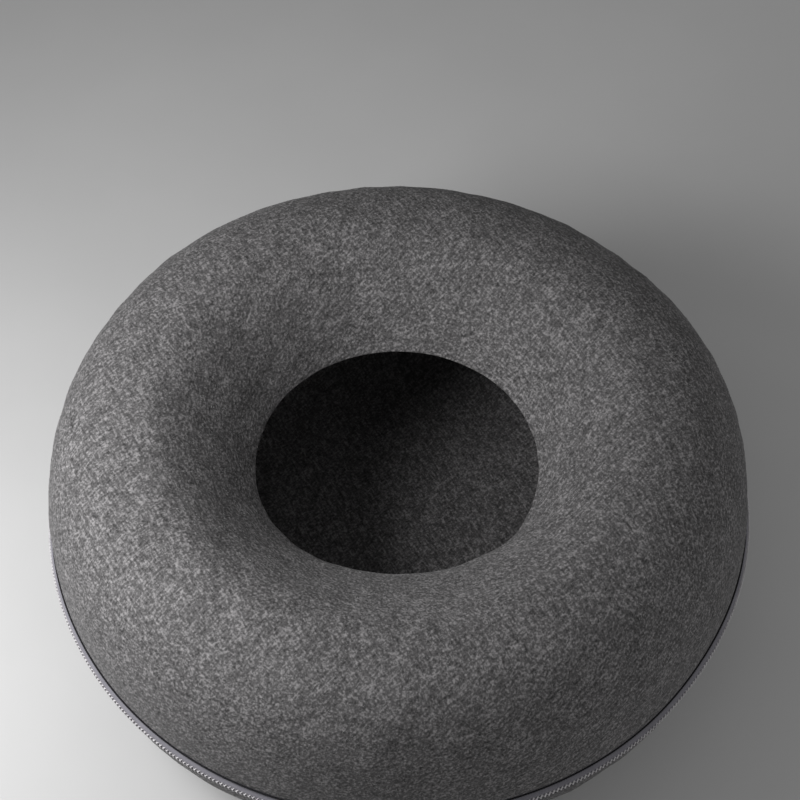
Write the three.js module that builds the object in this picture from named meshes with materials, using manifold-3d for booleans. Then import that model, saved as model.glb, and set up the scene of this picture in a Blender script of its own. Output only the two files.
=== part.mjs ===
// Donut tunnel bed: a hollow ring of stiff felt in two moulded halves, zipped together round the waist.
// Millimetres, +Z up. The floor is z = 0, the origin is under the middle of the ring, and -Y is the front.
import * as THREE from "three";
import { mergeVertices } from "three/addons/utils/BufferGeometryUtils.js";
import Module from "manifold-3d";

const wasm = await Module();
wasm.setup();

// Driving sizes of the ring.
const WAIST_RADIUS = 300; // outside of the felt at the zip
const HEIGHT = 240; // floor to crown
const ZIP_LEVEL = 112; // floor to the middle of the zip
const CROWN_RADIUS = 208; // circle along the top of the ring
const FLOOR_RADIUS = 180; // edge of the flat floor
const LIP_RADIUS = 120; // hole in the top
const LIP_DROP = 70; // from the crown down to the cut lip
const FELT = 4; // thickness of the moulded felt
const WALL_POWER = 2.55; // squareness of the upper wall: 2 is a round, more is a fuller shoulder
const FOOT_POWER = 2; // squareness of the lower wall
const BROW_POWER = 1.7; // roundness where the crown turns into the hole
const LIP_POWER = 1; // steepness of the slope at the lip: 1 is a straight slope, more is steeper

// Driving sizes of the zip.
const SEAM_GAP = 16; // between the two felt edges
const FIT = 0.4; // clearance between pieces that lie against each other
const TAPE = 1; // thickness of the woven tape
const TAPE_INSET = 0.8; // from the inside of the felt edge to the tape
const TAPE_LAP = 12; // tape hidden behind each felt edge
const TAPE_SLIT = 0.9; // from the middle of the zip to each tape's edge
const UPPER_TUCK = 0.8; // how far the upper tape's hidden edge leans in, as the felt wall does there
const LOWER_TUCK = 2.2; // the same of the lower tape
const TAPE_FLARE = 6.8; // how far the tape leans out between the felt and the coil
const COIL_WIDTH = 5.6;
const COIL_DEPTH = 2;
const COIL_BREAK = 12; // bare length at the back, where the ends of the zip meet

// Driving sizes of the slider and its pull. Length runs along the zip, depth outwards and height up.
const SLIDER_LENGTH = 14;
const SLIDER_HEIGHT = 8.8;
const SLIDER_PLATE = 1.2; // thickness of its outer and inner plate
const SLIDER_GRIP = 5; // how much of the slider is past the end of the coil
const FLANGE = 1; // thickness of the two edges that wrap the coil
const FLANGE_DEPTH = 2;
const NECK_LENGTH = 4.2;
const BAIL_RISE = 2; // clear height under the bail
const BAIL_BAR = 1; // thickness of the bail and its posts
const BAIL_WIDTH = 2.2;
const BAIL_LENGTH = 11;
const PULL_LENGTH = 31;
const PULL_HEIGHT = 7;
const PULL_BAR = 2.4; // end of the pull that lies under the bail
const EYE_LENGTH = 6.2; // slot in the pull, round a post of the bail
const EYE_HEIGHT = 3.6;

// Moulded felt isn't quite true. Each row swells (+) or draws in (-) a soft patch of the ring.
// azimuth: degrees from +X towards +Y. turn: 0 is the waist, 90 the crown, 160 the slope into the hole.
// width and sweep: how many degrees the patch spreads each way. push: millimetres.
const SWELLS = [
  { azimuth: 178, width: 20, turn: 5, sweep: 35, push: -1.6 },
  { azimuth: 207, width: 26, turn: -2, sweep: 30, push: -2.6 },
  { azimuth: 326, width: 15, turn: 10, sweep: 40, push: -2 },
  { azimuth: 17, width: 14, turn: 35, sweep: 40, push: 2 },
  { azimuth: 46, width: 12, turn: 40, sweep: 30, push: -1 },
  { azimuth: 126, width: 24, turn: 42, sweep: 28, push: 2.4 },
  { azimuth: 183, width: 24, turn: 86, sweep: 20, push: -2 },
  { azimuth: 238, width: 26, turn: 90, sweep: 19, push: 2.4 },
  { azimuth: 122, width: 24, turn: 89, sweep: 20, push: 2.6 },
  { azimuth: 58, width: 24, turn: 70, sweep: 15, push: -2.4 },
  { azimuth: 62, width: 28, turn: 114, sweep: 18, push: 2.4 },
  { azimuth: 346, width: 28, turn: 87, sweep: 20, push: 1.6 },
  { azimuth: 296, width: 22, turn: 112, sweep: 17, push: -2 },
  { azimuth: 178, width: 24, turn: 138, sweep: 18, push: 1.6 },
  { azimuth: 265, width: 44, turn: 150, sweep: 24, push: 10 }, // the lip stands in further at the front
  { azimuth: 325, width: 14, turn: 150, sweep: 24, push: -2.5 },
];
const CORE_RADIUS = 210; // swells push away from this circle inside the tunnel
const CORE_LEVEL = 120; // height of that circle
const STILL_HEIGHT = 60; // swells fade out below this, so that the floor stays flat

// Facets.
const SEGMENTS = 80; // round the ring
const WALL_STEPS = 11;
const SLOPE_STEPS = 8;
const COIL_STEPS = 6;
const PULL_STEPS = 8;
const MERGE = 1e-3; // vertices closer than this are one

// Colours.
const FELT_GREY = 0x59595c;
const TAPE_GREY = 0x6f6d74;
const COIL_GREY = 0xb4b2b8;
const METAL_GREY = 0x8c8d90;

// Levels above the floor, and distances out from the ring's axis.
const LIP_LEVEL = HEIGHT - LIP_DROP;
const TAPE_FACE = WAIST_RADIUS - FELT - TAPE_INSET; // outside of the tape behind the felt
const COIL_SEAT = TAPE_FACE + TAPE_FLARE; // outside of the tape under the coil
const COIL_BACK = COIL_SEAT + FIT;
const COIL_FACE = COIL_BACK + COIL_DEPTH;
const OUTER_PLATE = COIL_FACE + FIT; // slider's plate over the coil
const PLATE_TOP = OUTER_PLATE + SLIDER_PLATE;
const INNER_PLATE = COIL_SEAT - TAPE - TAPE_FLARE / 2; // slider's plate behind the tapes

// Bell curve that is 1 at the middle of a swell and falls off over its width.
function bell(offset, width) {
  return Math.exp(-((offset / width) ** 2));
}

// Difference of two angles in degrees, from -180 to 180.
function turnBetween(from, to) {
  return THREE.MathUtils.euclideanModulo(to - from + 180, 360) - 180;
}

// Push, in millimetres, of all the swells at a place on the ring.
function swellAt(azimuth, turn) {
  let push = 0;
  for (const swell of SWELLS) {
    const around = bell(turnBetween(swell.azimuth, azimuth), swell.width);
    push += swell.push * around * bell(turnBetween(swell.turn, turn), swell.sweep);
  }
  return push;
}

// Move every vertex by the swells. All the rings share them, so that seams stay together.
function applySwells(geometry) {
  const position = geometry.getAttribute("position");
  const point = new THREE.Vector3();
  for (let i = 0; i < position.count; i += 1) {
    point.fromBufferAttribute(position, i);
    const radius = Math.hypot(point.x, point.y);
    if (radius > 0) {
      const out = new THREE.Vector2(radius - CORE_RADIUS, point.z - CORE_LEVEL);
      const azimuth = THREE.MathUtils.radToDeg(Math.atan2(point.y, point.x));
      const turn = THREE.MathUtils.radToDeg(out.angle());
      const hold = THREE.MathUtils.smoothstep(point.z, 0, STILL_HEIGHT);
      out.setLength(swellAt(azimuth, turn) * hold);
      const grown = (radius + out.x) / radius;
      position.setXYZ(i, point.x * grown, point.y * grown, point.z + out.y);
    }
  }
  return geometry;
}

// Profile of (radius, height) points turned about the ring's axis, listed up the outside and down the inside.
function turned(profile) {
  const geometry = new THREE.LatheGeometry(profile, SEGMENTS);
  geometry.rotateX(Math.PI / 2);
  return applySwells(geometry);
}

// Ring turned from a section that is closed on itself.
function ring(section) {
  return turned([...section, section[0]]);
}

// The same line of points, moved to the right of its direction of travel.
function offset(line, distance) {
  return line.map((point, i) => {
    const before = line[Math.max(i - 1, 0)];
    const after = line[Math.min(i + 1, line.length - 1)];
    const along = after.clone().sub(before).normalize();
    return new THREE.Vector2(point.x + along.y * distance, point.y - along.x * distance);
  });
}

// Outer wall from the felt edge beside the zip to the crown or the floor: a quarter of a superellipse.
// side is 1 for up and -1 for down, reach is how far it goes from the middle of the zip, and end is the
// radius that it comes in to.
function wallLine(side, reach, end, power) {
  const span = WAIST_RADIUS - end;
  const start = Math.asin((SEAM_GAP / 2 / reach) ** (power / 2));
  const line = [];
  for (let i = 0; i <= WALL_STEPS; i += 1) {
    const angle = THREE.MathUtils.lerp(start, Math.PI / 2, i / WALL_STEPS);
    const across = Math.max(Math.cos(angle), 0) ** (2 / power);
    const away = Math.sin(angle) ** (2 / power);
    line.push(new THREE.Vector2(end + span * across, ZIP_LEVEL + side * reach * away));
  }
  return line;
}

// Slope from just past the crown down into the hole: round at the brow and straight towards the lip.
function slopeLine() {
  const span = CROWN_RADIUS - LIP_RADIUS;
  const line = [];
  for (let i = 1; i <= SLOPE_STEPS; i += 1) {
    const angle = (Math.PI / 2) * (i / SLOPE_STEPS);
    const across = Math.sin(angle) ** (2 / BROW_POWER);
    const up = Math.max(Math.cos(angle), 0) ** (2 / LIP_POWER);
    line.push(new THREE.Vector2(CROWN_RADIUS - span * across, LIP_LEVEL + LIP_DROP * up));
  }
  return line;
}

// Upper half: wall, crown and slope as one sheet with a cut edge at the zip and at the lip.
function upperShell() {
  const outside = [...wallLine(1, HEIGHT - ZIP_LEVEL, CROWN_RADIUS, WALL_POWER), ...slopeLine()];
  const inside = offset(outside, -FELT);
  return ring([...outside, ...inside.reverse()]);
}

// Lower half: a rounder wall that goes down, closed by a flat floor.
function lowerShell() {
  const wall = wallLine(-1, ZIP_LEVEL, FLOOR_RADIUS, FOOT_POWER);
  const inside = offset(wall, FELT);
  const underside = new THREE.Vector2(0, 0);
  const floor = new THREE.Vector2(0, inside.at(-1).y);
  return turned([underside, ...wall.reverse(), ...inside, floor]);
}

// Half of the zip's tape: flat behind the felt, leaning out to the slit under the coil. side is 1 or -1,
// and tuck is how far its hidden edge leans in.
function zipTape(side, tuck) {
  const face = [
    new THREE.Vector2(COIL_SEAT, TAPE_SLIT),
    new THREE.Vector2(COIL_SEAT, COIL_WIDTH / 2 + FIT),
    new THREE.Vector2(TAPE_FACE, SEAM_GAP / 2 - FIT),
    new THREE.Vector2(TAPE_FACE - tuck, SEAM_GAP / 2 + TAPE_LAP),
  ];
  const back = face.map((point) => new THREE.Vector2(point.x - TAPE, point.y));
  const section = [...face, ...back.reverse()];
  const placed = section.map((point) => new THREE.Vector2(point.x, ZIP_LEVEL + side * point.y));
  return ring(side > 0 ? placed : placed.reverse());
}

// Closed coil: half an ellipse on the outside of the tapes, broken at the back where the zip ends.
function zipChain() {
  const section = [];
  for (let i = 0; i <= COIL_STEPS; i += 1) {
    const angle = Math.PI * (i / COIL_STEPS - 0.5);
    const out = COIL_BACK + COIL_DEPTH * Math.cos(angle);
    section.push(new THREE.Vector2(out, ZIP_LEVEL + (COIL_WIDTH / 2) * Math.sin(angle)));
  }
  const gap = [COIL_BREAK, 2 * (COIL_DEPTH + FIT), 2 * COIL_WIDTH];
  const ends = block(gap, [0, COIL_BACK + COIL_DEPTH / 2, ZIP_LEVEL]);
  return geometryOf(solidOf(ring(section)).subtract(solidOf(ends)));
}

// Box of the given length, depth and height with its middle at a place.
function block(size, place) {
  return new THREE.BoxGeometry(...size).translate(...place);
}

// Closed geometry as a solid that can be joined and cut.
function solidOf(geometry) {
  const bare = new THREE.BufferGeometry();
  bare.setAttribute("position", geometry.getAttribute("position").clone());
  bare.setIndex(geometry.getIndex());
  const merged = mergeVertices(bare, MERGE);
  return new wasm.Manifold(
    new wasm.Mesh({
      numProp: 3,
      vertProperties: new Float32Array(merged.getAttribute("position").array),
      triVerts: new Uint32Array(merged.getIndex().array),
    }),
  );
}

// Joined or cut solid as a geometry again.
function geometryOf(solid) {
  const mesh = solid.getMesh();
  const geometry = new THREE.BufferGeometry();
  geometry.setAttribute("position", new THREE.Float32BufferAttribute(mesh.vertProperties, 3));
  geometry.setIndex(new THREE.Uint32BufferAttribute(mesh.triVerts, 1));
  geometry.computeVertexNormals();
  return geometry;
}

// Several closed geometries joined into one solid.
function joined(geometries) {
  const solids = geometries.map(solidOf);
  return geometryOf(solids.reduce((whole, solid) => whole.add(solid)));
}

// Middle of the slider along the zip: it holds the end of the coil and reaches past it.
function sliderMiddle() {
  return SLIDER_GRIP - (COIL_BREAK + SLIDER_LENGTH) / 2;
}

// Slider: two plates joined by a neck through the slit, flanges round the coil, and a bail for the pull.
function zipSlider() {
  const x = sliderMiddle();
  const neckX = FIT + (NECK_LENGTH - COIL_BREAK) / 2;
  const neckDepth = PLATE_TOP - INNER_PLATE;
  const bailY = PLATE_TOP + BAIL_RISE + BAIL_BAR / 2;
  const postDepth = BAIL_RISE + BAIL_BAR;
  const postX = (BAIL_LENGTH - BAIL_BAR) / 2;
  const flangeZ = (SLIDER_HEIGHT - FLANGE) / 2;
  const plate = [SLIDER_LENGTH, SLIDER_PLATE, SLIDER_HEIGHT];
  const pieces = [
    block(plate, [x, OUTER_PLATE + SLIDER_PLATE / 2, ZIP_LEVEL]),
    block(plate, [x, INNER_PLATE - SLIDER_PLATE / 2, ZIP_LEVEL]),
    block([NECK_LENGTH, neckDepth, 2 * (TAPE_SLIT - FIT)], [neckX, INNER_PLATE + neckDepth / 2, ZIP_LEVEL]),
    block([BAIL_LENGTH, BAIL_BAR, BAIL_WIDTH], [x, bailY, ZIP_LEVEL]),
  ];
  for (const side of [-1, 1]) {
    const flange = [SLIDER_LENGTH, FLANGE_DEPTH, FLANGE];
    const post = [BAIL_BAR, postDepth, BAIL_WIDTH];
    pieces.push(block(flange, [x, OUTER_PLATE - FLANGE_DEPTH / 2, ZIP_LEVEL + side * flangeZ]));
    pieces.push(block(post, [x + side * postX, PLATE_TOP + postDepth / 2, ZIP_LEVEL]));
  }
  return joined(pieces);
}

// Pull: a flat tab lying along the zip, its slotted end held under the bail.
function zipPull() {
  const half = PULL_HEIGHT / 2;
  const eyeHalf = EYE_HEIGHT / 2;
  const outline = new THREE.Shape();
  outline.moveTo(0, -half);
  outline.lineTo(PULL_LENGTH - half, -half);
  outline.absarc(PULL_LENGTH - half, 0, half, -Math.PI / 2, Math.PI / 2, false);
  outline.lineTo(0, half);
  outline.closePath();
  const eye = new THREE.Path();
  eye.moveTo(PULL_BAR, -eyeHalf);
  eye.lineTo(PULL_BAR, eyeHalf);
  eye.lineTo(PULL_BAR + EYE_LENGTH, eyeHalf);
  eye.lineTo(PULL_BAR + EYE_LENGTH, -eyeHalf);
  eye.closePath();
  outline.holes.push(eye);
  const depth = BAIL_RISE - 2 * FIT;
  const geometry = new THREE.ExtrudeGeometry(outline, {
    depth,
    bevelEnabled: false,
    curveSegments: PULL_STEPS,
  });
  geometry.rotateX(Math.PI / 2);
  return geometry.translate(sliderMiddle() - PULL_BAR / 2, PLATE_TOP + FIT + depth, ZIP_LEVEL);
}

// Named mesh with its own material.
function piece(name, geometry, color, roughness, metalness = 0) {
  const material = new THREE.MeshStandardMaterial({ color, roughness, metalness });
  const mesh = new THREE.Mesh(geometry, material);
  mesh.name = name;
  return mesh;
}

const group = new THREE.Group();
group.name = "donut_tunnel_bed";
group.add(
  piece("upper_shell", upperShell(), FELT_GREY, 0.95),
  piece("lower_shell", lowerShell(), FELT_GREY, 0.95),
  piece("zip_tape_upper", zipTape(1, UPPER_TUCK), TAPE_GREY, 0.85),
  piece("zip_tape_lower", zipTape(-1, LOWER_TUCK), TAPE_GREY, 0.85),
  piece("zip_chain", zipChain(), COIL_GREY, 0.5),
  piece("zip_slider", zipSlider(), METAL_GREY, 0.4, 0.9),
  piece("zip_pull", zipPull(), METAL_GREY, 0.4, 0.9),
);

export default group;
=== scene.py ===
"""Donut tunnel bed: a hollow ring of grey felt in two moulded halves, zipped together round the waist.

Metres, +Z up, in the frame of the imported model: the floor is z = 0, the origin is under the middle of the
ring, and -Y is the front.
"""

import logging
import math
from dataclasses import dataclass, field
from enum import Enum

import bpy
import numpy as np
from mathutils import Matrix, Vector


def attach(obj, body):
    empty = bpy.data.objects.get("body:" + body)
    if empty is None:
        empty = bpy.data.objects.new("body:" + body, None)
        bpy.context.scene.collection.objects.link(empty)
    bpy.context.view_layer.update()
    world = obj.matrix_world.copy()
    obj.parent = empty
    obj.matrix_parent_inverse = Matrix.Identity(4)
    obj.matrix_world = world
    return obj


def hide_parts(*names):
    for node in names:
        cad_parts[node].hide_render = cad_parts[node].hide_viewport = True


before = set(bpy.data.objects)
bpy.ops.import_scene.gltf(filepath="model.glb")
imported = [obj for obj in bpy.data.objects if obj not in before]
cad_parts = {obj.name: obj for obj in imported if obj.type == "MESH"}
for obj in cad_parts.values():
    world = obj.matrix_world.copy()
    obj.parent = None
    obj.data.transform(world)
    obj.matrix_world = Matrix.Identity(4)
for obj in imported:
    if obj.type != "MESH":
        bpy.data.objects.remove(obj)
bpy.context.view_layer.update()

LOG = logging.getLogger("donut_tunnel_bed")
BODY = "root"
FULL_TURN = 2 * math.pi
MM = 0.001
TINY = 1e-9  # keeps a division by a length clear of zero


class Half(Enum):
    """Which side of the zip a piece belongs to: its value is the direction away from the zip, up or down."""

    UPPER = 1
    LOWER = -1

    @property
    def word(self) -> str:
        """The half's name as piece names write it."""
        return self.name.lower()


class Slot(Enum):
    """Material slots of the record."""

    FELT = "felt"
    TAPE = "zip_tape"
    COIL = "zip_coil"
    METAL = "zip_metal"


# Arrays and meshes


def smooth_step(value: np.ndarray, low: float, high: float) -> np.ndarray:
    """0 below low, 1 above high, and the cubic 3t^2 - 2t^3 between them."""
    t = np.clip((value - low) / (high - low), 0.0, 1.0)
    return t * t * (3.0 - 2.0 * t)


def unit(vectors: np.ndarray) -> np.ndarray:
    """The vectors divided by their lengths."""
    return vectors / np.maximum(np.linalg.norm(vectors, axis=-1, keepdims=True), TINY)


def signed_power(value: np.ndarray, power: float) -> np.ndarray:
    """The size of the value raised to a power, with the value's sign."""
    return np.sign(value) * np.abs(value) ** power


def grid_faces(rows: int, columns: int, close_rows: bool, close_columns: bool) -> np.ndarray:
    """Quads between neighbouring points of a grid that is numbered row by row.

    Args:
        rows: points in the first direction.
        columns: points in the second direction.
        close_rows: whether the last row joins the first.
        close_columns: whether the last column joins the first.

    Returns:
        Corner numbers, (quads, 4). Their normal is the first direction crossed with the second.
    """
    row, column = np.meshgrid(
        np.arange(rows if close_rows else rows - 1),
        np.arange(columns if close_columns else columns - 1),
        indexing="ij",
    )
    next_row = (row + 1) % rows
    next_column = (column + 1) % columns
    corners = [(row, column), (next_row, column), (next_row, next_column), (row, next_column)]
    return np.stack([r * columns + c for r, c in corners], axis=-1).reshape(-1, 4)


def fan_faces(rim: np.ndarray, pole: int, outward: bool) -> np.ndarray:
    """Triangles from each step of a closed rim to one pole, turned round where outward is false."""
    after = np.roll(rim, -1)
    pair = (rim, after) if outward else (after, rim)
    return np.column_stack([*pair, np.full(len(rim), pole)])


def repeated(faces: np.ndarray, items: int, points_each: int) -> np.ndarray:
    """The faces of one item copied for every item of a row of equal items."""
    shift = np.arange(items)[:, None, None] * points_each
    return (faces[None] + shift).reshape(-1, faces.shape[1])


@dataclass
class Patch:
    """Points and faces of a surface on its way to becoming a piece.

    points is (n, 3). Each array in faces is (m, 3) or (m, 4). tags hold one value for each point, by name.
    """

    points: np.ndarray
    faces: list[np.ndarray]
    tags: dict[str, np.ndarray] = field(default_factory=dict)

    @staticmethod
    def joined(patches: list["Patch"]) -> "Patch":
        """Several patches as one, with no points shared."""
        starts = np.cumsum([0] + [len(patch.points) for patch in patches])
        faces = [face + start for patch, start in zip(patches, starts) for face in patch.faces]
        return Patch(np.concatenate([patch.points for patch in patches]), faces)

    def piece(self, name: str, material: bpy.types.Material, slot: Slot) -> bpy.types.Object:
        """Put the patch into a smooth mesh object that rides on the part's body.

        Args:
            name: the piece's name.
            material: its finish.
            slot: the record's slot of that finish; not used.

        Returns:
            The object, at the origin.
        """
        mesh = bpy.data.meshes.new(name)
        corners = np.concatenate([face.ravel() for face in self.faces]).astype(np.int32)
        sizes = np.concatenate([np.full(len(face), face.shape[1]) for face in self.faces])
        mesh.vertices.add(len(self.points))
        mesh.vertices.foreach_set("co", self.points.astype(np.float32).ravel())
        mesh.loops.add(len(corners))
        mesh.loops.foreach_set("vertex_index", corners)
        mesh.polygons.add(len(sizes))
        mesh.polygons.foreach_set("loop_start", (np.cumsum(sizes) - sizes).astype(np.int32))
        mesh.update(calc_edges=True)
        mesh.shade_smooth()
        for tag, values in self.tags.items():
            attribute = mesh.attributes.new(tag, "FLOAT", "POINT")
            attribute.data.foreach_set("value", values.astype(np.float32))
        mesh.materials.append(material)
        piece = bpy.data.objects.new(name, mesh)
        bpy.context.scene.collection.objects.link(piece)
        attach(piece, BODY)
        LOG.info("%s: %d triangles", name, int((sizes - 2).sum()))
        return piece


def tubes(paths: np.ndarray, aims: np.ndarray, radii: np.ndarray, sides: int) -> Patch:
    """Round tubes along paths, closed by fans: a ring is centre + radius * (cos a * aim + sin a * across).

    Args:
        paths: centre lines, (items, steps, 3).
        aims: a direction for each step that isn't along the path, same shape.
        radii: (items, steps).
        sides: corners of each ring.

    Returns:
        One patch of closed tubes.
    """
    items, steps = paths.shape[:2]
    along = unit(np.gradient(paths, axis=1))
    aims = unit(aims - along * (aims * along).sum(axis=-1, keepdims=True))
    across = np.cross(along, aims)
    angle = np.arange(sides) / sides * FULL_TURN
    spoke = np.cos(angle)[:, None] * aims[:, :, None] + np.sin(angle)[:, None] * across[:, :, None]
    rings = paths[:, :, None] + radii[:, :, None, None] * spoke
    each = steps * sides + 2
    points = np.concatenate([rings.reshape(items, -1, 3), paths[:, :1], paths[:, -1:]], axis=1)
    wall = grid_faces(steps, sides, False, True)
    first, last = np.arange(sides), np.arange(sides) + (steps - 1) * sides
    ends = [fan_faces(first, each - 2, True), fan_faces(last, each - 1, False)]
    faces = [repeated(wall, items, each), repeated(np.concatenate(ends), items, each)]
    return Patch(points.reshape(-1, 3), [face[:, ::-1] for face in faces])


# Form of the ring


@dataclass(frozen=True)
class Swell:
    """Soft patch of the ring that swells out or draws in, as moulded felt does.

    azimuth is in degrees from +X towards +Y. turn is 0 at the waist, 90 at the crown and 150 at the lip of
    the hole. width and sweep are how many degrees the patch spreads each way, and push is in metres.
    """

    azimuth: float
    width: float
    turn: float
    sweep: float
    push: float

    def at(self, azimuth: np.ndarray, turn: np.ndarray) -> np.ndarray:
        """Push at places on the ring: a bell curve round the ring times one over its section."""
        around = (azimuth - self.azimuth + 180.0) % 360.0 - 180.0
        over = (turn - self.turn + 180.0) % 360.0 - 180.0
        return self.push * np.exp(-((around / self.width) ** 2) - (over / self.sweep) ** 2)


SWELLS = (
    Swell(azimuth=178, width=20, turn=5, sweep=35, push=-1.6 * MM),
    Swell(azimuth=207, width=26, turn=-2, sweep=30, push=-2.6 * MM),
    Swell(azimuth=326, width=15, turn=10, sweep=40, push=-2.0 * MM),
    Swell(azimuth=17, width=14, turn=35, sweep=40, push=2.0 * MM),
    Swell(azimuth=46, width=12, turn=40, sweep=30, push=-1.0 * MM),
    Swell(azimuth=126, width=24, turn=42, sweep=28, push=2.4 * MM),
    Swell(azimuth=183, width=24, turn=86, sweep=20, push=-2.0 * MM),
    Swell(azimuth=238, width=26, turn=90, sweep=19, push=2.4 * MM),
    Swell(azimuth=122, width=24, turn=89, sweep=20, push=2.6 * MM),
    Swell(azimuth=58, width=24, turn=70, sweep=15, push=-2.4 * MM),
    Swell(azimuth=62, width=28, turn=114, sweep=18, push=2.4 * MM),
    Swell(azimuth=346, width=28, turn=87, sweep=20, push=1.6 * MM),
    Swell(azimuth=296, width=22, turn=112, sweep=17, push=-2.0 * MM),
    Swell(azimuth=178, width=24, turn=138, sweep=18, push=1.6 * MM),
    Swell(azimuth=265, width=44, turn=150, sweep=24, push=10.0 * MM),  # the lip is drawn in at the front
    Swell(azimuth=325, width=14, turn=150, sweep=24, push=-2.5 * MM),
)


@dataclass(frozen=True)
class RingForm:
    """Sizes of the ring and the formulas of its section, shared by every piece.

    The powers shape the superellipses of the section: wall and foot above and below the zip, brow and lip on
    the slope. Swells push away from the core circle, and fade out below still_height to keep the floor flat.
    """

    waist_radius: float = 0.300
    height: float = 0.240
    zip_level: float = 0.112
    crown_radius: float = 0.208
    floor_radius: float = 0.180
    lip_radius: float = 0.120
    lip_drop: float = 0.070
    felt: float = 4 * MM
    wall_power: float = 2.55
    foot_power: float = 2.0
    brow_power: float = 1.7
    lip_power: float = 1.0
    seam_gap: float = 16 * MM
    core_radius: float = 0.210
    core_level: float = 0.120
    still_height: float = 0.060
    line_points: int = 1200

    def wall(self, half: Half) -> np.ndarray:
        """Outer wall of one half from the felt edge beside the zip to the crown or the floor.

        A quarter of a superellipse: across = cos(t)^(2/power), away = sin(t)^(2/power).

        Args:
            half: the upper wall is fuller than the lower one.

        Returns:
            (radius, height) points.
        """
        upper = half is Half.UPPER
        reach = self.height - self.zip_level if upper else self.zip_level
        end = self.crown_radius if upper else self.floor_radius
        power = self.wall_power if upper else self.foot_power
        start = math.asin((self.seam_gap / 2 / reach) ** (power / 2))
        angle = np.linspace(start, math.pi / 2, self.line_points)
        across = np.clip(np.cos(angle), 0.0, None) ** (2 / power)
        away = np.sin(angle) ** (2 / power)
        radius = end + (self.waist_radius - end) * across
        return np.column_stack([radius, self.zip_level + half.value * reach * away])

    def slope(self) -> np.ndarray:
        """Slope from the crown down to the cut lip of the hole, as (radius, height) points.

        A quarter of a mixed superellipse: across = sin(t)^(2/brow), up = cos(t)^(2/lip).
        """
        angle = np.linspace(0.0, math.pi / 2, self.line_points)[1:]
        across = np.sin(angle) ** (2 / self.brow_power)
        up = np.clip(np.cos(angle), 0.0, None) ** (2 / self.lip_power)
        radius = self.crown_radius - (self.crown_radius - self.lip_radius) * across
        return np.column_stack([radius, self.height - self.lip_drop * (1 - up)])

    def floor(self) -> np.ndarray:
        """Flat floor of the lower half from the axis to the foot of its wall, as (radius, height) points."""
        radius = np.linspace(0.0, self.floor_radius, self.line_points)[:-1]
        return np.column_stack([radius, np.zeros_like(radius)])

    def outside(self, half: Half) -> np.ndarray:
        """Outside line of one felt half, with the outside to the right of its travel.

        Args:
            half: the upper line runs from the zip to the lip, the lower one from the axis to the zip.

        Returns:
            (radius, height) points.
        """
        if half is Half.UPPER:
            return np.concatenate([self.wall(half), self.slope()])
        return np.concatenate([self.floor(), self.wall(half)[::-1]])

    def turned(self, azimuth: np.ndarray, radius: np.ndarray, height: np.ndarray) -> np.ndarray:
        """Points of the ring: (radius, height) carried round the axis, then settled by the swells.

        Args:
            azimuth: in radians. The three arrays broadcast together.
            radius: distance out from the axis.
            height: above the floor.

        Returns:
            Points, with a last axis of 3.
        """
        azimuth, radius, height = np.broadcast_arrays(azimuth, radius, height)
        out, up = radius - self.core_radius, height - self.core_level
        turn = np.degrees(np.arctan2(up, out))
        push = sum(swell.at(np.degrees(azimuth), turn) for swell in SWELLS)
        push = push * smooth_step(height, 0.0, self.still_height) / np.maximum(np.hypot(out, up), TINY)
        radius = radius + out * push * (radius > 0)
        return np.stack([radius * np.cos(azimuth), radius * np.sin(azimuth), height + up * push], axis=-1)


@dataclass(frozen=True)
class WaveField:
    """Smooth uneven field in space: a sum of sine waves of seeded directions, lengths and phases."""

    seed: int
    waves: int
    shortest: float
    longest: float

    def at(self, points: np.ndarray) -> np.ndarray:
        """Value at points: the sum of sin(k . p + phase) over the waves, scaled to a spread of about 1."""
        dice = np.random.default_rng(self.seed)
        heading = unit(dice.normal(size=(self.waves, 3)))
        length = np.exp(dice.uniform(math.log(self.shortest), math.log(self.longest), self.waves))
        phase = dice.uniform(0.0, FULL_TURN, self.waves)
        angles = points @ (heading * (FULL_TURN / length)[:, None]).T + phase
        return np.sin(angles).sum(axis=-1) * math.sqrt(2 / self.waves)


# Finishes


@dataclass(frozen=True)
class Grain:
    """Fractal noise on object coordinates, about 0.5 on average.

    scale is its cells in a metre, detail the finer layers added, and roughness the share of each of them.
    stretch is how many times longer the cells are one way.
    """

    scale: float
    detail: float
    roughness: float
    stretch: float = 1.0


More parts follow.
